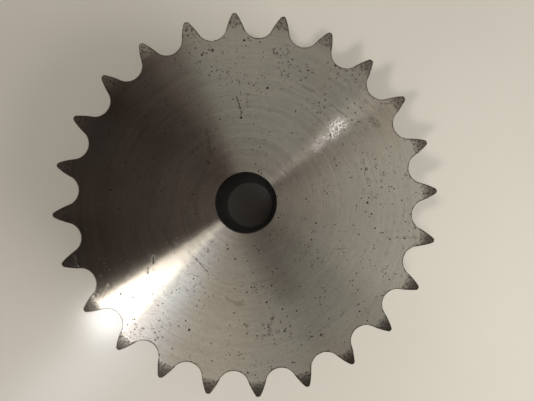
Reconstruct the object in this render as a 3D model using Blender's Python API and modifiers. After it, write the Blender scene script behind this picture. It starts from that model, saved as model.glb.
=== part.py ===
"""Double-strand chain wheel with 24 teeth for 5/8 inch roller chain (ISO 606, 10B-2).

Frame: origin at the centre of the hub's end face, bore along +Z, hub down,
front face on top, one tooth of each row centred on +X. Lengths in metres.
"""

import math

import bmesh
import bpy
from mathutils import Matrix, Vector

# Chain: the sizes that the wheel has to fit.
CHAIN_PITCH = 0.015875
ROLLER_DIAMETER = 0.64 * CHAIN_PITCH
ROW_PITCH = 1.045 * CHAIN_PITCH
LINK_PLATE_DEPTH = 0.928 * CHAIN_PITCH

# Wheel: its main sizes.
TOOTH_COUNT = 24
TOOTH_WIDTH = 0.0090
OVERALL_LENGTH = 0.0475
BORE_RADIUS = 0.0100
BORE_CHAMFER = 0.00033
SPIGOT_WALL = 0.0204
SPIGOT_CHAMFER = 0.0010
HUB_END_CHAMFER = 0.0010
HUB_WELD_LEG = 0.0050
HUB_CLEARANCE = 0.0020
GROOVE_CLEARANCE = 0.0007

# Teeth: seat and flank arcs between the ISO 606 limits, and relief on both sides.
PITCH_RADIUS = CHAIN_PITCH / (2 * math.sin(math.pi / TOOTH_COUNT))
SEAT_RADIUS = 0.508 * ROLLER_DIAMETER
SEAT_ANGLE = math.radians(132.2)
FLANK_RADIUS = 3.7 * ROLLER_DIAMETER
TIP_HEIGHT = 0.26 * CHAIN_PITCH
TIP_ROUNDING = 0.0005
LEAST_TIP_LAND = 0.0003
RELIEF_START_RADIUS = PITCH_RADIUS - 0.114 * CHAIN_PITCH
RELIEF_DEPTH = 0.2 * TOOTH_WIDTH
RELIEF_ARC_RADIUS = CHAIN_PITCH

# Levels of the two rows, from the hub's end face up.
FRONT_TOP = OVERALL_LENGTH
FRONT_BOTTOM = FRONT_TOP - TOOTH_WIDTH
REAR_TOP = FRONT_TOP - ROW_PITCH
REAR_BOTTOM = REAR_TOP - TOOTH_WIDTH

# Pieces that touch on the real wheel stand this far apart.
GAP = 0.0003

# Hub, groove and welds. The two welds stay clear of the chain's link plates, by the ISO 606 shroud limit.
SHROUD_RADIUS = CHAIN_PITCH / (2 * math.tan(math.pi / TOOTH_COUNT)) - 0.52 * LINK_PLATE_DEPTH - 0.00038
GROOVE_WELD_LEG = 0.42 * (FRONT_BOTTOM - REAR_TOP)
WELD_BULGE = 0.12
SPIGOT_RADIUS = BORE_RADIUS + SPIGOT_WALL
SPACER_RADIUS = SHROUD_RADIUS - GROOVE_CLEARANCE - GROOVE_WELD_LEG - GAP
HUB_RADIUS = SHROUD_RADIUS - HUB_CLEARANCE - HUB_WELD_LEG - GAP

# How far a turned blank stands past the tips, and a cutter past the blank's faces.
BLANK_MARGIN = 0.0003
CUT_MARGIN = 0.0020

# Facets of round shapes, how close points are joined, and what counts as a corner.
TURNED_STEPS = 72
SEAT_STEPS = 8
FLANK_STEPS = 3
TIP_STEPS = 2
RELIEF_STEPS = 3
POINT_WELD = 0.000001
CORNER_ANGLE = math.radians(20)


def clear_scene():
    for item in list(bpy.data.objects):
        bpy.data.objects.remove(item, do_unlink=True)
    for group in list(bpy.data.collections):
        bpy.data.collections.remove(group)


def new_collection(name, hidden=False):
    group = bpy.data.collections.new(name)
    bpy.context.scene.collection.children.link(group)
    group.hide_render = hidden
    return group


def steel(name, colour, roughness):
    material = bpy.data.materials.new(name)
    material.use_nodes = True
    shader = material.node_tree.nodes["Principled BSDF"]
    shader.inputs["Base Color"].default_value = (*colour, 1.0)
    shader.inputs["Metallic"].default_value = 1.0
    shader.inputs["Roughness"].default_value = roughness
    material.diffuse_color = (*colour, 1.0)
    return material


def relief_profile(tip_radius):
    """Side relief of the teeth, as (radius, depth) points from the flat face out to the blank's rim."""
    start = Vector((RELIEF_START_RADIUS, 0.0))
    end = Vector((tip_radius + BLANK_MARGIN, RELIEF_DEPTH))
    chord = end - start
    half = chord.length / 2
    normal = Vector((-chord.y, chord.x)).normalized()
    centre = (start + end) / 2 + normal * math.sqrt(RELIEF_ARC_RADIUS**2 - half**2)
    sweep = 2 * math.asin(half / RELIEF_ARC_RADIUS)
    points = []
    for step in range(RELIEF_STEPS + 1):
        turn = Matrix.Rotation(sweep * step / RELIEF_STEPS, 2)
        points.append(centre + turn @ (start - centre))
    return points


def turned(name, group, profile, material):
    """A closed ring turned round Z. The profile's (radius, z) points run down the outer side first."""
    mesh = bpy.data.meshes.new(name)
    count = len(profile)
    edges = [(i, (i + 1) % count) for i in range(count)]
    mesh.from_pydata([(radius, 0.0, z) for radius, z in profile], edges, [])
    ring = bpy.data.objects.new(name, mesh)
    group.objects.link(ring)
    screw = ring.modifiers.new("Turn", "SCREW")
    screw.axis = "Z"
    screw.angle = 2 * math.pi
    screw.steps = TURNED_STEPS
    screw.render_steps = TURNED_STEPS
    screw.use_merge_vertices = True
    screw.merge_threshold = POINT_WELD
    mesh.materials.append(material)
    return ring


def on_circle(centre, radius, angle):
    return centre + radius * Vector((math.cos(angle), math.sin(angle)))


def angle_of(vector):
    return math.atan2(vector.y, vector.x)


# The valley used below lies on +X, so its seat is round this point and its flanks round these two.
SEAT_CENTRE = Vector((PITCH_RADIUS, 0.0))
SEAT_END_ANGLE = math.pi - SEAT_ANGLE / 2
FLANK_CENTRE = on_circle(SEAT_CENTRE, SEAT_RADIUS + FLANK_RADIUS, SEAT_END_ANGLE)


def find_tip_radius():
    """The full tooth height, or less where the two flanks would meet under it."""
    middle = on_circle(Vector((0.0, 0.0)), 1.0, math.pi / TOOTH_COUNT)
    along = FLANK_CENTRE.dot(middle)
    across = FLANK_CENTRE.cross(middle)
    pointed = along + math.sqrt((FLANK_RADIUS - LEAST_TIP_LAND) ** 2 - across**2)
    return min(PITCH_RADIUS + TIP_HEIGHT, pointed)


def flank_at(radius):
    """Where the flank is this far from the wheel's axis."""
    distance = FLANK_CENTRE.length
    along = (distance**2 + radius**2 - FLANK_RADIUS**2) / (2 * distance)
    across = math.sqrt(radius**2 - along**2)
    unit = FLANK_CENTRE / distance
    return unit * along + Vector((unit.y, -unit.x)) * across


def half_tooth(tip_radius):
    """From the bottom of the valley on +X to the middle of the next tooth, counter-clockwise."""
    points = []
    for step in range(SEAT_STEPS // 2 + 1):
        angle = math.pi - SEAT_ANGLE * step / SEAT_STEPS
        points.append(on_circle(SEAT_CENTRE, SEAT_RADIUS, angle))
    flank_end = flank_at(tip_radius - TIP_ROUNDING)
    first = angle_of(points[-1] - FLANK_CENTRE)
    last = angle_of(flank_end - FLANK_CENTRE)
    for step in range(1, FLANK_STEPS + 1):
        angle = first + (last - first) * step / FLANK_STEPS
        points.append(on_circle(FLANK_CENTRE, FLANK_RADIUS, angle))
    # The corner is rounded onto the tip circle.
    corner = flank_at(tip_radius)
    tooth_middle = math.pi / TOOTH_COUNT
    land = tooth_middle - angle_of(corner)
    rounded = min(TIP_ROUNDING / tip_radius, land / 2)
    end = on_circle(Vector((0.0, 0.0)), tip_radius, angle_of(corner) + rounded)
    for step in range(1, TIP_STEPS + 1):
        part = step / TIP_STEPS
        points.append(flank_end * (1 - part) ** 2 + corner * 2 * part * (1 - part) + end * part**2)
    points.append(on_circle(Vector((0.0, 0.0)), tip_radius, tooth_middle))
    return points


def tooth_outline(tip_radius):
    """One turn of the toothed outline, with a tooth centred on +X."""
    half = half_tooth(tip_radius)
    mirrored = [Vector((point.x, -point.y)) for point in reversed(half[1:-1])]
    valley = mirrored + half
    outline = []
    for tooth in range(TOOTH_COUNT):
        turn = Matrix.Rotation(2 * math.pi * (tooth + 0.5) / TOOTH_COUNT, 2)
        outline += [turn @ point for point in valley]
    return outline


def tooth_cutter(name, group, tip_radius, bottom, top):
    """A prism of the toothed outline, to cut a turned blank with."""
    outline = bpy.data.curves.new(name, "CURVE")
    outline.dimensions = "2D"
    outline.fill_mode = "BOTH"
    outline.extrude = (top - bottom) / 2
    points = tooth_outline(tip_radius)
    spline = outline.splines.new("POLY")
    spline.points.add(len(points) - 1)
    spline.use_cyclic_u = True
    for spot, (x, y) in zip(spline.points, points):
        spot.co = (x, y, 0.0, 1.0)
    guide = bpy.data.objects.new(name + "_outline", outline)
    guide.location.z = (top + bottom) / 2
    group.objects.link(guide)
    bpy.context.view_layer.update()
    graph = bpy.context.evaluated_depsgraph_get()
    mesh = bpy.data.meshes.new_from_object(guide.evaluated_get(graph))
    shape = bmesh.new()
    shape.from_mesh(mesh)
    bmesh.ops.remove_doubles(shape, verts=shape.verts, dist=POINT_WELD)
    bmesh.ops.recalc_face_normals(shape, faces=shape.faces)
    shape.to_mesh(mesh)
    shape.free()
    cutter = bpy.data.objects.new(name, mesh)
    cutter.matrix_world = guide.matrix_world
    bpy.data.objects.remove(guide)
    group.objects.link(cutter)
    cutter.hide_render = True
    cutter.display_type = "WIRE"
    return cutter


def toothed_plate(name, group, cutters, bottom, top, inner_profile, material):
    """A turned blank with side relief, cut to the toothed outline. inner_profile runs from the bottom up."""
    tip_radius = find_tip_radius()
    relief = relief_profile(tip_radius)
    upper = [(radius, top - depth) for radius, depth in relief]
    lower = [(radius, bottom + depth) for radius, depth in reversed(relief)]
    plate = turned(name, group, upper + lower + inner_profile, material)
    cut = plate.modifiers.new("Teeth", "BOOLEAN")
    cut.operation = "INTERSECT"
    cut.solver = "EXACT"
    low = bottom - CUT_MARGIN
    high = top + CUT_MARGIN
    cut.object = tooth_cutter(name + "_teeth", cutters, tip_radius, low, high)
    return plate


def settle(piece):
    """Applies the modifiers, and shades the piece smooth with its corners sharp."""
    graph = bpy.context.evaluated_depsgraph_get()
    mesh = bpy.data.meshes.new_from_object(piece.evaluated_get(graph))
    piece.modifiers.clear()
    piece.data = mesh
    mesh.shade_smooth()
    mesh.set_sharp_from_angle(angle=CORNER_ANGLE)


def weld_bead(name, group, corner_radius, corner_z, leg, up, material):
    """A fillet bead in the corner of a round wall and a flat face. It goes up from the face, or down."""
    way = 1 if up else -1
    inner = corner_radius + GAP
    base = corner_z + way * GAP
    root = (inner, base)
    wall_end = (inner, base + way * leg)
    face_end = (inner + leg, base)
    bulge = leg * (0.5 + WELD_BULGE)
    middle = (inner + bulge, base + way * bulge)
    profile = [wall_end, middle, face_end, root]
    if not up:
        profile.reverse()
    return turned(name, group, profile, material)


clear_scene()
wheel = new_collection("double_strand_chain_wheel")
cutters = new_collection("cutters", hidden=True)

face_steel = steel("turned_steel_front", (0.42, 0.39, 0.35), 0.38)
rear_steel = steel("turned_steel_rear", (0.38, 0.36, 0.33), 0.42)
spacer_steel = steel("spacer_steel", (0.33, 0.31, 0.29), 0.48)
hub_steel = steel("hub_steel", (0.40, 0.38, 0.35), 0.40)
bead_steel = steel("weld_steel", (0.24, 0.22, 0.21), 0.60)

# Front row: one disc from the bore to the tips.
front_bore = [
    (BORE_RADIUS, FRONT_BOTTOM),
    (BORE_RADIUS, FRONT_TOP - BORE_CHAMFER),
    (BORE_RADIUS + BORE_CHAMFER, FRONT_TOP),
]
toothed_plate(
    "front_toothed_plate",
    wheel,
    cutters,
    FRONT_BOTTOM,
    FRONT_TOP,
    front_bore,
    face_steel,
)

# Rear row: the same teeth, on the hub's spigot.
rear_bore = [
    (SPIGOT_RADIUS + GAP, REAR_BOTTOM),
    (SPIGOT_RADIUS + GAP, REAR_TOP),
]
toothed_plate(
    "rear_toothed_plate",
    wheel,
    cutters,
    REAR_BOTTOM,
    REAR_TOP,
    rear_bore,
    rear_steel,
)

# Spacer ring between the rows.
turned(
    "spacer_ring",
    wheel,
    [
        (SPACER_RADIUS, FRONT_BOTTOM - GAP),
        (SPACER_RADIUS, REAR_TOP + GAP),
        (SPIGOT_RADIUS + GAP, REAR_TOP + GAP),
        (SPIGOT_RADIUS + GAP, FRONT_BOTTOM - GAP),
    ],
    spacer_steel,
)

# Hub: boss below, spigot above, bored through.
turned(
    "hub",
    wheel,
    [
        (SPIGOT_RADIUS - SPIGOT_CHAMFER, FRONT_BOTTOM - GAP),
        (SPIGOT_RADIUS, FRONT_BOTTOM - GAP - SPIGOT_CHAMFER),
        (SPIGOT_RADIUS, REAR_BOTTOM - GAP),
        (HUB_RADIUS, REAR_BOTTOM - GAP),
        (HUB_RADIUS, HUB_END_CHAMFER),
        (HUB_RADIUS - HUB_END_CHAMFER, 0.0),
        (BORE_RADIUS + BORE_CHAMFER, 0.0),
        (BORE_RADIUS, BORE_CHAMFER),
        (BORE_RADIUS, FRONT_BOTTOM - GAP),
    ],
    hub_steel,
)

# Welds: both corners of the groove, and the corner of hub and rear plate.
weld_bead("front_groove_weld", wheel, SPACER_RADIUS, FRONT_BOTTOM, GROOVE_WELD_LEG, False, bead_steel)
weld_bead("rear_groove_weld", wheel, SPACER_RADIUS, REAR_TOP, GROOVE_WELD_LEG, True, bead_steel)
weld_bead("hub_weld", wheel, HUB_RADIUS, REAR_BOTTOM, HUB_WELD_LEG, False, bead_steel)

bpy.context.view_layer.update()
for piece in wheel.objects:
    settle(piece)
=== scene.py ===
"""Looks of a double-strand roller chain wheel in bare turned steel.

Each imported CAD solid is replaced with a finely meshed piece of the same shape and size, with its own
procedural steel. The wheel lies on its hub on a pale floor, and the camera looks straight down at it.
Lengths are in metres in the CAD frame: bore along +Z, hub down, a tooth of each row on +X.
"""

import math

import bpy
import numpy as np
from mathutils import Matrix, Vector, noise


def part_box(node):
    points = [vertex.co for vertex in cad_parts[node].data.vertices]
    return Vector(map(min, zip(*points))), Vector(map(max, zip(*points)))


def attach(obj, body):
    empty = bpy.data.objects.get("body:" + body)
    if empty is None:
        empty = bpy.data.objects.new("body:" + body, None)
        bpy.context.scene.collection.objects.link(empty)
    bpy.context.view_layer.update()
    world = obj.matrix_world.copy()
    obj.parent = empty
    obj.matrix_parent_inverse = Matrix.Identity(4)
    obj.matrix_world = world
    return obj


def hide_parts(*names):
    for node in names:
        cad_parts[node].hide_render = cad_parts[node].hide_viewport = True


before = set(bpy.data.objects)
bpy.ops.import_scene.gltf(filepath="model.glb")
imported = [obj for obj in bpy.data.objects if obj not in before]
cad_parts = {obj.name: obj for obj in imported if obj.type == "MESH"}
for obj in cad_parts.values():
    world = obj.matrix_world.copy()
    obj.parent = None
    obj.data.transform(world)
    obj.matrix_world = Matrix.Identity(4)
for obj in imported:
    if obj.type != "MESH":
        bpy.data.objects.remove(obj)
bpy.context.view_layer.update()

MM = 0.001

# Sizes that the frame gives.
FRONT_LOW, FRONT_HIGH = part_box("front_toothed_plate")
REAR_LOW, REAR_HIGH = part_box("rear_toothed_plate")
TIP_RADIUS = FRONT_HIGH.x
TOOTH_WIDTH = FRONT_HIGH.z - FRONT_LOW.z
HUB_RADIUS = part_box("hub")[1].x
SPACER_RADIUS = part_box("spacer_ring")[1].x

# Tooth form, as on the CAD model.
TOOTH_COUNT = 24
CHAIN_PITCH = 15.875 * MM
ROLLER_DIAMETER = 0.64 * CHAIN_PITCH
PITCH_RADIUS = CHAIN_PITCH / (2 * math.sin(math.pi / TOOTH_COUNT))
SEAT_RADIUS = 0.508 * ROLLER_DIAMETER
SEAT_ANGLE = math.radians(132.2)
FLANK_RADIUS = 3.7 * ROLLER_DIAMETER
TIP_ROUNDING = 0.5 * MM
RELIEF_START_RADIUS = PITCH_RADIUS - 0.114 * CHAIN_PITCH
RELIEF_DEPTH = 0.2 * TOOTH_WIDTH
BLANK_MARGIN = 0.3 * MM
BORE_RADIUS = 10 * MM
BORE_CHAMFER = 0.33 * MM
SPIGOT_RADIUS = 30.4 * MM
REAR_BORE_RADIUS = SPIGOT_RADIUS + 0.1 * MM
HUB_END_CHAMFER = 1.0 * MM
SPACER_CORNER = 0.2 * MM

# Edges left by the cutter: their usual break and how much it wanders, how deep the nicks go and where
# they start in the noise, and how far dirt reaches in from the rim.
EDGE_BREAK = 0.12 * MM
EDGE_WANDER = 0.7
NICK_DEPTH = 1.1 * MM
NICK_THRESHOLD = 0.42
DIRTY_RIM = 1.0 * MM

# Weld beads: the length of one step, the height of the ripples, how round the section is, and how far a
# bead runs in past its corner.
BEAD_STEP = 2.4 * MM
BEAD_RIPPLE = 0.16 * MM
BEAD_ROUNDNESS = 0.45
BEAD_TUCK = 0.35 * MM

# Mesh detail.
SEAT_STEPS = 16
FLANK_STEPS = 9
TIP_STEPS = 4
RELIEF_ROWS = 8
CREASE_SUPPORT = 0.4 * MM
LEAST_RELIEF = 0.9 * MM
FLAT_RADIUS = 52 * MM
FLAT_PARTS = (0.0, 0.06, 0.2, 0.45, 0.7, 1.0)
ROUND_COLUMNS = 240
BEAD_COLUMNS = 900
BEAD_ROWS = 9
CORNER_ANGLE = math.radians(24)


# ---- Shapes -------------------------------------------------------------------------------------


def on_circle(centre, radius, angle):
    return centre + radius * Vector((math.cos(angle), math.sin(angle)))


def angle_of(vector):
    return math.atan2(vector.y, vector.x)


ORIGIN = Vector((0.0, 0.0))
SEAT_CENTRE = Vector((PITCH_RADIUS, 0.0))
FLANK_CENTRE = on_circle(SEAT_CENTRE, SEAT_RADIUS + FLANK_RADIUS, math.pi - SEAT_ANGLE / 2)


def flank_at(radius):
    """Where the flank beside the valley on +X is this far from the axis."""
    distance = FLANK_CENTRE.length
    along = (distance**2 + radius**2 - FLANK_RADIUS**2) / (2 * distance)
    across = math.sqrt(radius**2 - along**2)
    unit = FLANK_CENTRE / distance
    return unit * along + Vector((unit.y, -unit.x)) * across


def half_tooth():
    """(point, outward normal) pairs from the bottom of the valley on +X to the middle of the next tooth."""
    pairs = []
    for step in range(SEAT_STEPS // 2 + 1):
        angle = math.pi - SEAT_ANGLE * step / SEAT_STEPS
        pairs.append((on_circle(SEAT_CENTRE, SEAT_RADIUS, angle), -on_circle(ORIGIN, 1, angle)))
    flank_end = flank_at(TIP_RADIUS - TIP_ROUNDING)
    first = angle_of(pairs[-1][0] - FLANK_CENTRE)
    last = angle_of(flank_end - FLANK_CENTRE)
    for step in range(1, FLANK_STEPS + 1):
        angle = first + (last - first) * step / FLANK_STEPS
        pairs.append((on_circle(FLANK_CENTRE, FLANK_RADIUS, angle), on_circle(ORIGIN, 1, angle)))
    corner = flank_at(TIP_RADIUS)
    middle = math.pi / TOOTH_COUNT
    end = on_circle(ORIGIN, TIP_RADIUS, angle_of(corner) + TIP_ROUNDING / TIP_RADIUS)
    flank_normal = pairs[-1][1]
    tip_normal = end.normalized()
    for step in range(1, TIP_STEPS + 1):
        part = step / TIP_STEPS
        point = flank_end * (1 - part) ** 2 + corner * 2 * part * (1 - part) + end * part**2
        pairs.append((point, flank_normal.slerp(tip_normal, part)))
    pairs.append((on_circle(ORIGIN, TIP_RADIUS, middle), on_circle(ORIGIN, 1, middle)))
    return pairs


def tooth_outline():
    """One turn of (point, outward normal) pairs, with a tooth centred on +X."""
    half = half_tooth()
    flip = Matrix.Scale(-1, 2, Vector((0, 1)))
    valley = [(flip @ point, flip @ normal) for point, normal in reversed(half[1:-1])] + half
    pairs = []
    for tooth in range(TOOTH_COUNT):
        turn = Matrix.Rotation(2 * math.pi * (tooth + 0.5) / TOOTH_COUNT, 2)
        pairs += [(turn @ point, turn @ normal) for point, normal in valley]
    return pairs


def relief_depth(radius):
    """How far the side of a tooth lies under the flat face at this radius."""
    if radius <= RELIEF_START_RADIUS:
        return 0.0
    start = Vector((RELIEF_START_RADIUS, 0.0))
    end = Vector((TIP_RADIUS + BLANK_MARGIN, RELIEF_DEPTH))
    chord = end - start
    normal = Vector((-chord.y, chord.x)).normalized()
    centre = (start + end) / 2 + normal * math.sqrt(CHAIN_PITCH**2 - chord.length_squared / 4)
    return centre.y - math.sqrt(CHAIN_PITCH**2 - (radius - centre.x) ** 2)


def skin(name, rows, slots, edge_rows=None):
    """A ring-shaped mesh. Each row is one loop of points round the axis, and the last row joins the first.
    slots says which material the band after each row takes, and edge_rows how near an edge each point is."""
    count = len(rows[0])
    points = [tuple(point) for row in rows for point in row]
    faces = []
    face_slots = []
    for row, slot in enumerate(slots):
        here = row * count
        there = (row + 1) % len(rows) * count
        for i in range(count):
            j = (i + 1) % count
            faces.append((here + i, here + j, there + j, there + i))
            face_slots.append(slot)
    mesh = bpy.data.meshes.new(name)
    mesh.from_pydata(points, [], faces)
    mesh.polygons.foreach_set("material_index", face_slots)
    if edge_rows is not None:
        edge = mesh.attributes.new("edge", "FLOAT", "POINT")
        edge.data.foreach_set("value", np.array(edge_rows, np.float32).ravel())
    mesh.validate()
    mesh.shade_smooth()
    mesh.set_sharp_from_angle(angle=CORNER_ANGLE)
    piece = bpy.data.objects.new(name, mesh)
    bpy.context.scene.collection.objects.link(piece)
    return piece


def finish_piece(piece, node, materials):
    """Gives the piece its materials, lets it ride the wheel's body and puts it in place of its CAD node."""
    for material in materials:
        piece.data.materials.append(material)
    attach(piece, "root")
    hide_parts(node)


def rough_edge(point, seed):
    """An edge break in metres that varies along the edge, with a nick here and there."""
    spot = Vector((point.x, point.y, 0.0)) / MM
    wander = noise.noise(spot * 0.9 + Vector((0, 0, seed)))
    nick = max(0.0, noise.noise(spot * 1.7 + Vector((40, 0, seed))) - NICK_THRESHOLD)
    return EDGE_BREAK * (1 + EDGE_WANDER * wander) + NICK_DEPTH * nick


def toothed_plate(name, low, high, bore_rows, seed):
    """Rows run up the bore, out over the top face and its relief, down the teeth and back in below."""
    outline = tooth_outline()
    points = np.array([point for point, _ in outline])
    inner_radius = bore_rows[-1][0]
    columns = [angle_of(point) for point, _ in outline]

    def side(face_z, inward, seed):
        """The rows of one face from the flat part out to the edge, then the wall's own edge row."""
        face_rows = []
        for part in FLAT_PARTS:
            radius = inner_radius + (FLAT_RADIUS - inner_radius) * part
            face_rows.append([(radius * math.cos(a), radius * math.sin(a), face_z) for a in columns])
        insets = []
        for point, normal in outline:
            inset = rough_edge(point, seed)
            insets.append((point - normal * inset, inset))
        for row in range(-1, RELIEF_ROWS + 1):
            ring = []
            for (edge, _), a in zip(insets, columns):
                rim = edge.length
                crease = min(RELIEF_START_RADIUS, rim - LEAST_RELIEF)
                if row < 0:
                    radius = crease - CREASE_SUPPORT
                else:
                    radius = crease + (rim - crease) * row / RELIEF_ROWS
                direction = edge.normalized() if row == RELIEF_ROWS else Vector((math.cos(a), math.sin(a)))
                spot = direction * radius
                ring.append((spot.x, spot.y, face_z + inward * relief_depth(radius)))
            face_rows.append(ring)
        wall = []
        for (point, _), (_, inset) in zip(outline, insets):
            drop = relief_depth(point.length) + inset
            wall.append((point.x, point.y, face_z + inward * drop))
        return face_rows, wall

    top_rows, top_wall = side(high.z, -1, seed)
    bottom_rows, bottom_wall = side(low.z, 1, seed + 7)
    bore = [[(r * math.cos(a), r * math.sin(a), z) for a in columns] for r, z in bore_rows[:-1]]
    rows = bore + top_rows + [top_wall, bottom_wall] + bottom_rows[::-1]
    slots = [2] * len(bore) + [0] * (len(top_rows) - 1) + [1, 1, 1]
    slots += [0] * (len(bottom_rows) - 1) + [2]
    edge_rows = []
    for row in rows:
        flat = np.array(row)[:, :2]
        radius = np.linalg.norm(flat, axis=1).max()
        if radius < FLAT_RADIUS - DIRTY_RIM:
            edge_rows.append(np.zeros(len(row)))
            continue
        gap = np.sqrt(((flat[:, None] - points[None]) ** 2).sum(2)).min(1)
        edge_rows.append(np.clip(1 - gap / DIRTY_RIM, 0, 1))
    return skin(name, rows, slots, edge_rows)


def circle_row(radius, z, columns):
    """One loop of points round the axis."""
    angles = [2 * math.pi * i / columns for i in range(columns)]
    return [(radius * math.cos(a), radius * math.sin(a), z) for a in angles]


def turned_ring(name, profile, slots):
    """A ring of this (radius, z) profile, which runs up the inside, out, down and back in."""
    return skin(name, [circle_row(radius, z, ROUND_COLUMNS) for radius, z in profile], slots)


def broken_corners(profile, size):
    """The profile with each corner cut back by this size on both sides."""
    cut = []
    for i, corner in enumerate(profile):
        here = Vector(corner)
        for other in (Vector(profile[i - 1]), Vector(profile[(i + 1) % len(profile)])):
            way = other - here
            cut.append(tuple(here + way.normalized() * min(size, way.length * 0.4)))
    return cut


def weld_bead(name, node, wall_radius, up):
    """A fillet bead laid in short steps, so that it is rippled and its toes wander."""
    low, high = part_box(node)
    face_z, way = (low.z, 1) if up else (high.z, -1)
    leg = high.z - low.z
    steps_round = round(2 * math.pi * (wall_radius + leg / 2) / BEAD_STEP)
    rows = []
    for row in range(BEAD_ROWS + 1):
        part = row / BEAD_ROWS
        ring = []
        for i in range(BEAD_COLUMNS):
            a = 2 * math.pi * i / BEAD_COLUMNS
            spot = Vector((math.cos(a), math.sin(a), 0.0))
            toe = 1 - 0.09 * (1 + noise.noise(spot * 14 + Vector((0, 0, 5 * way))))
            # Each step trails at the toes, and rises fast and falls slowly.
            lag = 0.55 * (2 * part - 1) ** 2
            phase = (i / BEAD_COLUMNS * steps_round + lag) % 1.0
            ripple = (phase**0.6 - 0.6) * BEAD_RIPPLE * math.sin(math.pi * part)
            # The bead's section is partly a straight fillet and partly a round one.
            turn = part * math.pi / 2
            reach = leg * toe * (0.70 + 0.09 * math.sin(2 * turn)) + ripple
            curved = Vector((math.sin(turn), math.cos(turn))) * reach * (1 / 0.79)
            straight = Vector((leg * toe * part, leg * toe * (1 - part)))
            mixed = straight.lerp(curved, BEAD_ROUNDNESS)
            radius = wall_radius + mixed.x
            ring.append((radius * spot.x, radius * spot.y, face_z + way * mixed.y))
        rows.append(ring)
    for radius in (wall_radius + leg * 0.8, wall_radius - BEAD_TUCK):
        rows.append(circle_row(radius, face_z - way * BEAD_TUCK, BEAD_COLUMNS))
    if not up:
        rows.reverse()
    return skin(name, rows, [0] * len(rows))


# ---- Materials ----------------------------------------------------------------------------------


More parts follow.
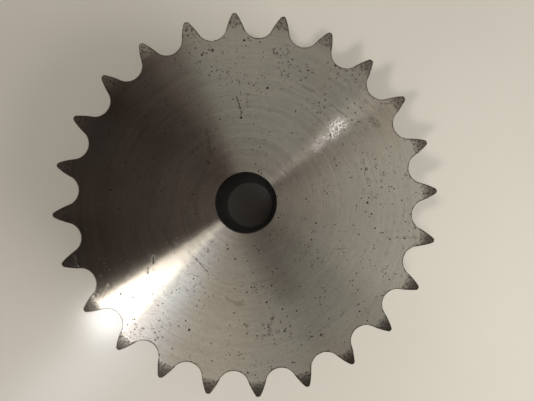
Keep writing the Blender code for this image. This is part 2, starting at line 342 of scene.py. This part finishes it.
class Recipe:
    """One procedural material on a Principled BSDF. Its positions are in millimetres from the axis."""

    def __init__(self, name, colour, metallic=1.0, roughness=0.4):
        self.material = bpy.data.materials.new(name)
        self.material.use_nodes = True
        self.material.diffuse_color = (*colour, 1.0)
        self.tree = self.material.node_tree
        self.shader = self.tree.nodes["Principled BSDF"]
        self.shader.inputs["Base Color"].default_value = (*colour, 1.0)
        self.shader.inputs["Metallic"].default_value = metallic
        self.shader.inputs["Roughness"].default_value = roughness
        self.place = self.vector("SCALE", self.node("TexCoord").outputs["Object"], scale=1000.0)

    def node(self, kind, **settings):
        made = self.tree.nodes.new("ShaderNode" + kind)
        for key, value in settings.items():
            setattr(made, key, value)
        return made

    def put(self, socket, value):
        if isinstance(value, bpy.types.NodeSocket):
            self.tree.links.new(value, socket)
        elif value is not None:
            socket.default_value = value

    def math(self, operation, a, b=None, c=None):
        made = self.node("Math", operation=operation)
        for socket, value in zip(made.inputs, (a, b, c)):
            self.put(socket, value)
        return made.outputs[0]

    def vector(self, operation, a, b=None, scale=None):
        made = self.node("VectorMath", operation=operation)
        self.put(made.inputs[0], a)
        self.put(made.inputs[1], b)
        self.put(made.inputs[3], scale)
        return made.outputs["Value" if operation in ("LENGTH", "DOT_PRODUCT") else 0]

    def join(self, x, y, z):
        made = self.node("CombineXYZ")
        for socket, value in zip(made.inputs, (x, y, z)):
            self.put(socket, value)
        return made.outputs[0]

    def parts(self, vector):
        made = self.node("SeparateXYZ")
        self.put(made.inputs[0], vector)
        return made.outputs

    def smooth(self, value, low, high, start=0.0, end=1.0):
        """From start at low to end at high, with soft ends."""
        made = self.node("MapRange", interpolation_type="SMOOTHSTEP")
        for socket, setting in zip(made.inputs, (value, low, high, start, end)):
            self.put(socket, setting)
        return made.outputs[0]

    def noise(self, vector, scale, detail=2.0, rough=0.5, output="Fac"):
        made = self.node("TexNoise")
        for key, value in (("Vector", vector), ("Scale", scale), ("Detail", detail), ("Roughness", rough)):
            self.put(made.inputs[key], value)
        return made.outputs[output]

    def mix(self, share, a, b, way="MIX"):
        made = self.node("Mix", data_type="RGBA", blend_type=way)
        self.put(made.inputs[0], share)
        for socket, value in ((made.inputs[6], a), (made.inputs[7], b)):
            self.put(socket, (*value, 1.0) if isinstance(value, tuple) else value)
        return made.outputs[2]

    def polar(self, around, across):
        """Coordinates that follow the turning, with this much detail around the axis and across the face."""
        x, y, _ = self.parts(self.place)
        flat = self.join(x, y, 0.0)
        radius = self.vector("LENGTH", flat)
        unit = self.vector("SCALE", self.vector("NORMALIZE", flat), scale=around)
        ux, uy, _ = self.parts(unit)
        return self.join(ux, uy, self.math("MULTIPLY", radius, across))

    def bump(self, height, distance):
        made = self.node("Bump")
        self.put(made.inputs["Height"], height)
        self.put(made.inputs["Distance"], distance)
        self.put(made.inputs["Strength"], 1.0)
        return made.outputs[0]

    def warped(self, vector, scale, reach):
        """The coordinate pushed about by noise of this scale, by up to about half this reach."""
        push = self.noise(vector, scale, output="Color")
        centred = self.vector("SUBTRACT", push, (0.5, 0.5, 0.5))
        return self.vector("ADD", vector, self.vector("SCALE", centred, scale=reach))

    def nearness(self, place, marks):
        """How near a place is to the nearest mark, as 0 on it, 1 at its rim and more outside."""
        nearest = None
        for mark in marks:
            start, width = mark[0], mark[-1]
            offset = self.vector("SUBTRACT", place, (*start, 0.0))
            if len(mark) == 3:
                way = Vector((mark[1][0] - start[0], mark[1][1] - start[1], 0.0))
                along = self.vector("DOT_PRODUCT", offset, tuple(way / way.length_squared))
                clamp = self.node("Clamp")
                self.put(clamp.inputs[0], along)
                foot = self.vector("SCALE", tuple(way), scale=clamp.outputs[0])
                offset = self.vector("SUBTRACT", offset, foot)
            ratio = self.math("DIVIDE", self.vector("LENGTH", offset), width)
            nearest = ratio if nearest is None else self.math("MINIMUM", nearest, ratio)
        return nearest

    def pits(self, place, scale, share, smallest, largest):
        """1 in small round pits, sized in millimetres. share is how many of the cells hold one."""
        cell = self.node("TexVoronoi")
        self.put(cell.inputs["Vector"], place)
        self.put(cell.inputs["Scale"], scale)
        pick, size, _ = self.parts(cell.outputs["Color"])
        radius = self.math("MULTIPLY_ADD", self.math("POWER", size, 2.5), largest - smallest, smallest)
        inside = self.math("SUBTRACT", self.math("MULTIPLY", radius, scale), cell.outputs["Distance"])
        spot = self.smooth(inside, -0.04 * scale, 0.04 * scale)
        return self.math("MULTIPLY", spot, self.math("LESS_THAN", pick, share))


# How much browner some patches are, the colours of what lies on a face, and the colour of a painted
# highlight.
BROWNER = (1.04, 0.972, 0.955)
DIRT = (0.045, 0.038, 0.033)
SOIL = (0.15, 0.11, 0.09)
STAIN = (0.15, 0.12, 0.10)
SCORED = (0.80, 0.78, 0.72)
PAINTED_GLINT = (0.97, 0.95, 0.92)
FACE_ROUGHNESS = 0.135
BUMP_HEIGHT = 0.04 * MM


def turned_face(name, colour, seed, dark=(), smears=(), bright=(), rubbed_and_glint=()):
    """A faced disc: fine rings round the axis, pits, smears, a dirty rim, speckled tooth relief, and rubbed
    patches that are smoother and carry a painted highlight.
    """
    r = Recipe(name, colour, roughness=0.18)
    x, y, _ = r.parts(r.place)
    flat = r.join(x, y, seed * 13.0)
    on_face = r.join(x, y, 0.0)
    radius = r.vector("LENGTH", on_face)

    fine_rings = r.noise(r.polar(1.2, 2.6), 1.0, 4.0, 0.7)
    broad_rings = r.noise(r.polar(1.0, 0.5), 1.0, 3.0, 0.65)
    drag = r.noise(r.polar(9.0, 0.9), 1.0, 4.0, 0.6)
    grain = r.noise(flat, 2.2, 4.0, 0.7)
    smudge = r.noise(r.warped(flat, 0.05, 9.0), 0.07, 4.0, 0.6)
    patch = r.noise(flat, 0.03, 2.0, 0.5)
    ragged = r.noise(flat, 1.3, 4.0, 0.75)
    start = RELIEF_START_RADIUS / MM
    relief = r.smooth(r.math("MULTIPLY_ADD", ragged, 2.4, radius), start + 1.0, start + 1.6)

    # Pits come in clusters, more of them away from the bore.
    rough_place = r.warped(flat, 2.4, 0.42)
    cluster = r.smooth(r.noise(flat, 0.085, 3.0, 0.6), 0.46, 0.64)
    spread = r.math("MULTIPLY", cluster, r.smooth(radius, 20.0, 32.0, 0.3, 1.0))
    small_pits = r.pits(rough_place, 1.25, r.math("MULTIPLY_ADD", spread, 0.40, 0.12), 0.10, 0.30)
    large_pits = r.pits(rough_place, 0.42, r.math("MULTIPLY_ADD", spread, 0.24, 0.06), 0.16, 0.46)
    spots = r.math("MAXIMUM", small_pits, large_pits)
    soil = r.smooth(r.noise(r.warped(flat, 0.3, 1.2), 0.6, 5.0, 0.78), 0.55, 0.67)
    soil = r.math("MULTIPLY", soil, r.math("MULTIPLY_ADD", spread, 0.75, 0.2))

    # Dirt and burrs on the rim, and dark specks on the relief.
    edge = r.node("Attribute", attribute_name="edge").outputs["Fac"]
    rim = r.smooth(r.math("MULTIPLY_ADD", ragged, 1.1, edge), 1.08, 1.30)
    specks = r.math("MULTIPLY", relief, r.smooth(r.noise(flat, 1.0, 5.0, 0.8), 0.51, 0.56))
    rim = r.math("MAXIMUM", rim, r.math("MULTIPLY", specks, 0.85))

    # The steel's own colour: rings, grain and slightly browner patches.
    tone = r.math("MULTIPLY_ADD", smudge, 0.20, 0.82)
    for marks, share in ((broad_rings, 0.30), (fine_rings, 0.32), (drag, 0.22), (grain, 0.34), (patch, 0.12)):
        tone = r.math("MULTIPLY_ADD", r.math("SUBTRACT", marks, 0.5), share, tone)
    brown = tuple(c * share for c, share in zip(colour, BROWNER))
    steel = r.mix(r.smooth(patch, 0.4, 0.6), brown, colour)
    steel = r.mix(1.0, steel, r.join(tone, tone, tone), "MULTIPLY")
    steel = r.mix(r.math("MULTIPLY", soil, 0.85), steel, SOIL)
    rough = r.math("MULTIPLY_ADD", smudge, 0.03, FACE_ROUGHNESS)

    # Marks with places of their own.
    marked = r.warped(on_face, 1.8, 0.8)
    if dark:
        struck = r.smooth(r.nearness(marked, dark), 0.7, 1.3, 1.0, 0.0)
        spots = r.math("MAXIMUM", spots, r.math("MULTIPLY", struck, r.smooth(ragged, 0.40, 0.50)))
    if smears:
        smeared = r.smooth(r.nearness(r.warped(on_face, 0.5, 2.2), smears), 0.2, 1.3, 1.0, 0.0)
        steel = r.mix(r.math("MULTIPLY", smeared, 0.30), steel, STAIN)
    if bright:
        scored = r.smooth(r.nearness(marked, bright), 0.5, 1.1, 1.0, 0.0)
        steel = r.mix(r.math("MULTIPLY", scored, 0.6), steel, SCORED)
    # Rubbed patches: smoother steel, plus a painted highlight that lifts the colour toward near-white in
    # sparkles.
    if rubbed_and_glint:
        worn_and_glint = r.smooth(r.nearness(r.warped(on_face, 0.3, 4.0), rubbed_and_glint), 0.0, 1.0, 1.0, 0.0)
        sparkle = r.smooth(r.noise(flat, 1.4, 5.0, 0.85), 0.46, 0.57, 0.12, 1.0)
        sparkle = r.math("MULTIPLY", worn_and_glint, sparkle)
        rough = r.math("MULTIPLY_ADD", sparkle, -0.085, rough)
        steel = r.mix(r.math("MULTIPLY", sparkle, 0.75), steel, PAINTED_GLINT)

    dirt = r.math("MINIMUM", r.math("MAXIMUM", spots, rim), 1.0)
    r.put(r.shader.inputs["Base Color"], r.mix(r.math("MULTIPLY", dirt, 0.9), steel, DIRT))
    for marks, share in ((broad_rings, 0.05), (relief, 0.02), (dirt, 0.12), (soil, 0.04)):
        rough = r.math("MULTIPLY_ADD", marks, share, rough)
    r.put(r.shader.inputs["Roughness"], rough)
    height = r.math("MULTIPLY_ADD", fine_rings, 0.10, r.math("MULTIPLY", grain, 0.02))
    height = r.math("MULTIPLY_ADD", dirt, -0.06, height)
    height = r.math("MULTIPLY_ADD", r.math("MULTIPLY", relief, ragged), 0.3, height)
    r.put(r.shader.inputs["Normal"], r.bump(height, BUMP_HEIGHT))
    r.shader.inputs["Anisotropic"].default_value = 1.0
    r.shader.inputs["Anisotropic Rotation"].default_value = 0.25
    r.put(r.shader.inputs["Tangent"], r.node("Tangent", direction_type="RADIAL", axis="Z").outputs[0])
    return r.material


def cut_flank(name, colour):
    """Tooth flanks: cutter marks across the width, oily smears and small rust specks."""
    r = Recipe(name, colour, roughness=0.4)
    x, y, z = r.parts(r.place)
    stretched = [r.math("MULTIPLY", part, scale) for part, scale in ((x, 2.4), (y, 2.4), (z, 0.12))]
    marks = r.noise(r.join(*stretched), 1.0, 3.0, 0.6)
    smear = r.noise(r.place, 0.22, 4.0, 0.6)
    rust = r.smooth(r.noise(r.place, 0.9, 5.0, 0.75), 0.60, 0.72)
    tone = r.math("ADD", 0.72, r.math("MULTIPLY", marks, 0.25))
    tone = r.math("ADD", tone, r.math("MULTIPLY", smear, 0.25))
    steel = r.mix(1.0, colour, r.join(tone, tone, tone), "MULTIPLY")
    r.put(r.shader.inputs["Base Color"], r.mix(r.math("MULTIPLY", rust, 0.6), steel, (0.07, 0.045, 0.03)))
    r.put(r.shader.inputs["Metallic"], r.math("SUBTRACT", 1.0, r.math("MULTIPLY", rust, 0.5)))
    r.put(r.shader.inputs["Roughness"], r.math("ADD", 0.30, r.math("MULTIPLY", smear, 0.25)))
    r.put(r.shader.inputs["Normal"], r.bump(r.math("SUBTRACT", marks, rust), 0.03 * MM))
    return r.material


def turned_side(name, colour, pitch, roughness=0.34):
    """A turned cylinder or bore: feed marks at this pitch in millimetres, with wear and faint stains."""
    r = Recipe(name, colour, roughness=roughness)
    x, y, z = r.parts(r.place)
    ux, uy, _ = r.parts(r.vector("NORMALIZE", r.join(x, y, 0.0)))
    feed = r.noise(r.join(ux, uy, r.math("DIVIDE", z, pitch)), 1.0, 3.0, 0.6)
    smear = r.noise(r.place, 0.12, 5.0, 0.6)
    spots = r.smooth(r.noise(r.place, 0.8, 4.0, 0.7), 0.63, 0.73)
    tone = r.math("ADD", 0.70, r.math("MULTIPLY", feed, 0.28))
    tone = r.math("ADD", tone, r.math("MULTIPLY", smear, 0.28))
    steel = r.mix(1.0, colour, r.join(tone, tone, tone), "MULTIPLY")
    r.put(r.shader.inputs["Base Color"], r.mix(r.math("MULTIPLY", spots, 0.6), steel, (0.06, 0.045, 0.035)))
    r.put(r.shader.inputs["Roughness"], r.math("ADD", roughness - 0.06, r.math("MULTIPLY", smear, 0.16)))
    r.put(r.shader.inputs["Normal"], r.bump(r.math("SUBTRACT", feed, spots), 0.025 * MM))
    return r.material


def weld_metal(name, colour):
    """Bead metal: dull, with brown and blue heat tint in patches of scale."""
    r = Recipe(name, colour, roughness=0.5)
    blotch = r.noise(r.place, 0.5, 5.0, 0.65)
    scale = r.noise(r.place, 2.2, 4.0, 0.7)
    tint = r.mix(r.smooth(blotch, 0.35, 0.65), (0.21, 0.15, 0.10), (0.13, 0.14, 0.18))
    r.put(r.shader.inputs["Base Color"], r.mix(r.smooth(scale, 0.4, 0.7), colour, tint))
    r.put(r.shader.inputs["Roughness"], r.math("ADD", 0.38, r.math("MULTIPLY", blotch, 0.25)))
    r.put(r.shader.inputs["Metallic"], 0.9)
    r.put(r.shader.inputs["Normal"], r.bump(scale, 0.05 * MM))
    return r.material


# ---- The wheel ----------------------------------------------------------------------------------

FACE_COLOUR = (0.545, 0.522, 0.444)
FLANK_COLOUR = (0.46, 0.43, 0.39)
# The bore's colour is far darker than the turned face's: painted shade inside the hole.
SHADED_BORE_COLOUR = (0.13, 0.12, 0.11)
HUB_COLOUR = (0.50, 0.475, 0.43)
GROOVE_COLOUR = (0.44, 0.42, 0.385)
BEAD_COLOUR = (0.34, 0.32, 0.30)

# Marks of the front face, in millimetres from the axis: (start, end, half width), or (middle, radius).
DARK_MARKS = (
    ((-0.9, 35.7), (0.4, 30.0), 0.24),
    ((0.3, 41.3), (0.5, 36.0), 0.09),
    ((12.3, 51.3), (12.3, 49.6), 0.2),
    ((30.7, 30.7), (35.7, 26.7), 0.12),
    ((45.8, -14.7), (57.1, -15.4), 0.07),
    ((-31.8, -15.7), (-31.9, -18.1), 0.32),
    ((-33.7, -19.3), (-33.8, -21.3), 0.28),
    ((-47.3, -24.1), (-47.1, -25.5), 0.26),
    ((-20.3, -14.5), (-14.1, -21.9), 0.12),
    ((9.8, -3.7), (11.4, -4.8), 0.1),
    ((8.3, -5.3), (10.8, -7.8), 0.1),
    ((7.1, -8.2), (9.3, -10.4), 0.1),
    ((1.9, 48.9), (2.7, 48.6), 0.14),
    ((-8.1, 51.8), 0.5),
    ((-11.7, 50.5), 0.4),
    ((-10.1, 50.9), 0.38),
    ((-12.5, 48.3), 0.36),
    ((-9.3, 52.0), 0.3),
    ((-13.7, 52.9), 0.3),
    ((-9.6, 43.5), 0.32),
    ((-7.1, 44.9), 0.3),
    ((-5.2, 44.4), 0.3),
    ((-15.8, 51.4), 0.25),
    ((-27.3, 39.1), 0.3),
    ((-6.0, 43.2), 0.3),
    ((15.6, 43.4), 0.3),
    ((22.8, 33.6), 0.25),
    ((35.9, 39.2), 0.28),
    ((31.0, 10.6), 0.3),
    ((39.7, -5.5), 0.28),
    ((22.8, -8.2), 0.3),
    ((46.1, -28.6), 0.28),
    ((22.1, -45.2), 0.5),
    ((6.2, -38.9), 0.45),
    ((-43.1, -27.4), 0.4),
    ((-19.6, -22.5), 0.3),
    ((32.9, 44.3), 0.5),
    ((36.7, 42.4), 0.4),
)
SMEARS = (
    ((-11.5, 24.7), (-10.8, 17.3), 0.9),
    ((21.7, 37.6), (25.0, 35.8), 0.7),
    ((4.5, -44.1), (6.6, -37.6), 0.7),
    ((-8.7, -31.2), (-3.5, -33.6), 0.8),
    ((1.2, -12.5), (11.1, -29.2), 6.0),
    ((43.7, 25.5), (45.6, 23.4), 1.2),
)
BRIGHT_MARKS = (
    ((11.7, 10.5), (14.2, 7.7), 0.12),
    ((12.3, 9.8), (14.1, 6.7), 0.1),
    ((32.4, 26.3), (29.5, 23.8), 0.2),
)
# Patches that are smoother and carry a painted highlight, as (start, end, half width).
RUBBED_GLINT_PATCHES = (((24.5, 17.3), (28.0, 20.2), 2.6), ((30.0, 21.6), (33.0, 24.2), 4.8))

face_front = turned_face("front_face_steel", FACE_COLOUR, 1, DARK_MARKS, SMEARS, BRIGHT_MARKS, RUBBED_GLINT_PATCHES)
face_rear = turned_face("rear_face_steel", FACE_COLOUR, 2)
flank_steel = cut_flank("tooth_flank_steel", FLANK_COLOUR)
# The bore walls of the plates and the hub take this painted shade of the hole.
shaded_bore_steel = turned_side("shaded_bore_steel", SHADED_BORE_COLOUR, 0.5)
hub_steel = turned_side("hub_side_steel", HUB_COLOUR, 0.7)
hub_face = turned_face("hub_end_steel", FACE_COLOUR, 3)
groove_steel = turned_side("groove_steel", GROOVE_COLOUR, 0.6, 0.4)
bead_metal = weld_metal("weld_metal", BEAD_COLOUR)

front_bore = [
    (BORE_RADIUS, FRONT_LOW.z),
    (BORE_RADIUS, FRONT_HIGH.z - BORE_CHAMFER),
    (BORE_RADIUS + BORE_CHAMFER, FRONT_HIGH.z),
]
front = toothed_plate("front_row", FRONT_LOW, FRONT_HIGH, front_bore, 1)
finish_piece(front, "front_toothed_plate", [face_front, flank_steel, shaded_bore_steel])

rear_bore = [(REAR_BORE_RADIUS, REAR_LOW.z), (REAR_BORE_RADIUS, REAR_HIGH.z)]
rear = toothed_plate("rear_row", REAR_LOW, REAR_HIGH, rear_bore, 30)
finish_piece(rear, "rear_toothed_plate", [face_rear, flank_steel, shaded_bore_steel])

spacer_profile = broken_corners(
    [
        (SPIGOT_RADIUS, REAR_HIGH.z),
        (SPIGOT_RADIUS, FRONT_LOW.z),
        (SPACER_RADIUS, FRONT_LOW.z),
        (SPACER_RADIUS, REAR_HIGH.z),
    ],
    SPACER_CORNER,
)
spacer = turned_ring("spacer", spacer_profile, [0] * len(spacer_profile))
finish_piece(spacer, "spacer_ring", [groove_steel])

hub_profile = [
    (BORE_RADIUS, BORE_CHAMFER),
    (BORE_RADIUS, FRONT_LOW.z),
    (SPIGOT_RADIUS, FRONT_LOW.z),
    (SPIGOT_RADIUS, REAR_LOW.z),
    (HUB_RADIUS, REAR_LOW.z),
    (HUB_RADIUS, HUB_END_CHAMFER),
    (HUB_RADIUS - HUB_END_CHAMFER, 0.0),
    (BORE_RADIUS + BORE_CHAMFER, 0.0),
]
hub = turned_ring("hub_body", hub_profile, [2, 0, 0, 0, 0, 0, 1, 0])
finish_piece(hub, "hub", [hub_steel, hub_face, shaded_bore_steel])

for node, wall_radius, up in (
    ("front_groove_weld", SPACER_RADIUS, False),
    ("rear_groove_weld", SPACER_RADIUS, True),
    ("hub_weld", HUB_RADIUS, False),
):
    bead = weld_bead(node + "_bead", node, wall_radius, up)
    finish_piece(bead, node, [bead_metal])


# ---- Floor, lights and camera -------------------------------------------------------------------


def around(azimuth, zenith, distance, centre):
    """A point this far from centre. Azimuth runs from +X to +Y and zenith from straight up, in degrees."""
    a, t = math.radians(azimuth), math.radians(zenith)
    way = Vector((math.sin(t) * math.cos(a), math.sin(t) * math.sin(a), math.cos(t)))
    return centre + way * distance


def soft_light(name, azimuth, zenith, distance, width, depth, power, colour):
    """An area light that faces the middle of the wheel."""
    lamp = bpy.data.lights.new(name, "AREA")
    lamp.shape = "RECTANGLE"
    lamp.size = width
    lamp.size_y = depth
    lamp.energy = power
    lamp.color = colour
    light = bpy.data.objects.new(name, lamp)
    target = Vector((0.0, 0.0, FRONT_HIGH.z))
    light.location = around(azimuth, zenith, distance, target)
    light.rotation_euler = (light.location - target).to_track_quat("Z", "Y").to_euler()
    light.visible_camera = False
    bpy.context.scene.collection.objects.link(light)
    return light


def floor_material():
    r = Recipe("pale_floor", (0.74, 0.71, 0.65), metallic=0.0, roughness=0.2)
    r.shader.inputs["IOR"].default_value = 1.7
    shade = r.noise(r.place, 0.02, 4.0, 0.6)
    r.put(r.shader.inputs["Base Color"], r.mix(shade, (0.785, 0.75, 0.665), (0.745, 0.71, 0.625)))
    r.put(r.shader.inputs["Roughness"], r.math("ADD", 0.12, r.math("MULTIPLY", shade, 0.06)))
    return r.material


def lay_floor(half):
    corners = [(-half, -half, 0), (half, -half, 0), (half, half, 0), (-half, half, 0)]
    mesh = bpy.data.meshes.new("floor")
    mesh.from_pydata(corners, [], [(0, 1, 2, 3)])
    mesh.materials.append(floor_material())
    floor = bpy.data.objects.new("floor", mesh)
    bpy.context.scene.collection.objects.link(floor)


FLOOR_HALF = 3.0
lay_floor(FLOOR_HALF)

# The camera is a phone's, held close above the front face. Its picture is turned a little from the teeth.
LENS = 26.56
CAMERA_HEIGHT = 131.3 * MM
PICTURE_TURN = math.radians(-3.65)
picture_right = Vector((math.cos(PICTURE_TURN), math.sin(PICTURE_TURN), 0.0))
picture_up = Vector((-math.sin(PICTURE_TURN), math.cos(PICTURE_TURN), 0.0))
# Where it is over the face, and how far from there it aims: to the right and up in the picture.
CAMERA_PLACE = (5.07 * MM, -2.33 * MM)
CAMERA_AIM = (1.9 * MM, 3.1 * MM)
camera_spot = picture_right * CAMERA_PLACE[0] + picture_up * CAMERA_PLACE[1]
camera_spot.z = FRONT_HIGH.z + CAMERA_HEIGHT
aim = camera_spot + picture_right * CAMERA_AIM[0] + picture_up * CAMERA_AIM[1]
aim.z = FRONT_HIGH.z
camera_data = bpy.data.cameras.new("camera")
camera_data.lens = LENS
camera_data.sensor_width = 36.0
camera_data.clip_start = 0.01
camera = bpy.data.objects.new("camera", camera_data)
back = (camera_spot - aim).normalized()
right = picture_up.cross(back).normalized()
up = back.cross(right)
camera.matrix_world = Matrix.Translation(camera_spot) @ Matrix((right, up, back)).transposed().to_4x4()
bpy.context.scene.collection.objects.link(camera)
bpy.context.scene.camera = camera

# The key makes the bright wedge and the floor's glare, and the glint the small highlight across the bore.
# The beam and the fill light the floor and aren't mirrored in the steel.
soft_light("key", 211.7, 28.0, 1.2, 0.10, 0.17, 0.85, (1.0, 0.99, 0.97))
soft_light("glint", 43.4, 17.5, 1.2, 0.05, 0.05, 0.018, (1.0, 0.98, 0.95))
beam = soft_light("beam", 211.7, 29.0, 1.2, 0.08, 0.08, 2.6, (1.0, 0.95, 0.86))
beam.visible_glossy = False
fill = soft_light("fill", -28, 62.0, 0.60, 0.45, 0.45, 2.6, (1.0, 0.985, 0.96))
fill.visible_glossy = False

# The studio walls: azimuth in degrees, then brightness near the floor, halfway up and high up.
WALLS = (
    (-180, 0.02, 0.010, 0.055),
    (-155, 0.04, 0.02, 0.055),
    (-150, 0.10, 0.30, 0.060),
    (-146, 0.10, 2.00, 0.16),
    (-143, 0.10, 2.35, 0.80),
    (-138, 0.10, 2.15, 0.92),
    (-134, 0.10, 1.35, 0.78),
    (-129, 0.10, 0.96, 0.60),
    (-120, 0.10, 0.76, 0.47),
    (-112, 0.08, 0.74, 0.46),
    (-88, 0.04, 0.52, 0.30),
    (-70, 0.02, 0.43, 0.235),
    (-52, 0.02, 0.51, 0.25),
    (-28, 0.05, 0.78, 0.36),
    (8, 0.14, 0.72, 0.50),
    (20, 0.18, 0.72, 0.46),
    (44, 0.20, 0.38, 0.17),
    (68, 0.26, 0.41, 0.36),
    (92, 0.34, 0.48, 0.29),
    (106, 0.40, 0.44, 0.27),
    (116, 0.40, 0.16, 0.10),
    (128, 0.25, 0.035, 0.05),
    (140, 0.06, 0.015, 0.055),
)
OVERHEAD = 0.08
# Where one level of the walls gives way to the next, in degrees from straight up.
LOW_TO_HALFWAY = (48, 30)
HALFWAY_TO_HIGH = (20, 9)
HIGH_TO_OVERHEAD = (7, 3)
# The hue of the walls at a brightness: dark ones are browner and bright ones bluer.
WALL_HUES = (
    (0.03, (1.17, 0.86, 0.81)),
    (0.22, (1.0, 0.957, 0.89)),
    (0.80, (1.0, 0.965, 0.90)),
    (1.00, (0.97, 1.0, 1.10)),
)


def studio_world():
    """Soft surroundings that differ in brightness from side to side."""
    world = bpy.data.worlds.new("studio")
    world.use_nodes = True
    tree = world.node_tree
    nodes = tree.nodes
    link = tree.links.new
    split = nodes.new("ShaderNodeSeparateXYZ")
    link(nodes.new("ShaderNodeTexCoord").outputs["Generated"], split.inputs[0])
    turn = nodes.new("ShaderNodeMath")
    turn.operation = "ARCTAN2"
    link(split.outputs[1], turn.inputs[0])
    link(split.outputs[0], turn.inputs[1])
    share = nodes.new("ShaderNodeMapRange")
    link(turn.outputs[0], share.inputs[0])
    for i, value in enumerate((-math.pi, math.pi, 0.0, 1.0)):
        share.inputs[i + 1].default_value = value
    ramps = []
    for level in (1, 2, 3):
        ramp = nodes.new("ShaderNodeValToRGB")
        link(share.outputs[0], ramp.inputs[0])
        ramp.color_ramp.interpolation = "EASE"
        stops = ramp.color_ramp.elements
        for i, wall in enumerate(WALLS):
            stop = stops[i] if i < 2 else stops.new(1.0)
            stop.position = wall[0] / 360 + 0.5
            stop.color = (wall[level],) * 3 + (1.0,)
        ramps.append(ramp.outputs[0])

    def blend(zeniths, a, b):
        """From a at the first zenith to b at the second."""
        part = nodes.new("ShaderNodeMapRange")
        part.interpolation_type = "SMOOTHSTEP"
        link(split.outputs[2], part.inputs[0])
        for socket, zenith in zip(part.inputs[1:], zeniths):
            socket.default_value = math.cos(math.radians(zenith))
        mixed = nodes.new("ShaderNodeMix")
        mixed.data_type = "RGBA"
        link(part.outputs[0], mixed.inputs[0])
        for socket, value in ((mixed.inputs[6], a), (mixed.inputs[7], b)):
            if isinstance(value, float):
                socket.default_value = (value, value, value, 1.0)
            else:
                link(value, socket)
        return mixed.outputs[2]

    side = blend(HALFWAY_TO_HIGH, ramps[1], ramps[2])
    side = blend(HIGH_TO_OVERHEAD, side, OVERHEAD)
    side = blend(LOW_TO_HALFWAY, ramps[0], side)
    tint = nodes.new("ShaderNodeMix")
    tint.data_type = "RGBA"
    tint.blend_type = "MULTIPLY"
    tint.inputs[0].default_value = 1.0
    link(side, tint.inputs[6])
    shade = nodes.new("ShaderNodeValToRGB")
    link(side, shade.inputs[0])
    stops = shade.color_ramp.elements
    for i, (brightness, hue) in enumerate(WALL_HUES):
        stop = stops[i] if i < 2 else stops.new(1.0)
        stop.position = brightness
        stop.color = (*hue, 1.0)
    link(shade.outputs[0], tint.inputs[7])
    link(tint.outputs[2], nodes["Background"].inputs["Color"])
    return world


bpy.context.scene.world = studio_world()
bpy.context.scene.view_settings.view_transform = "Standard"
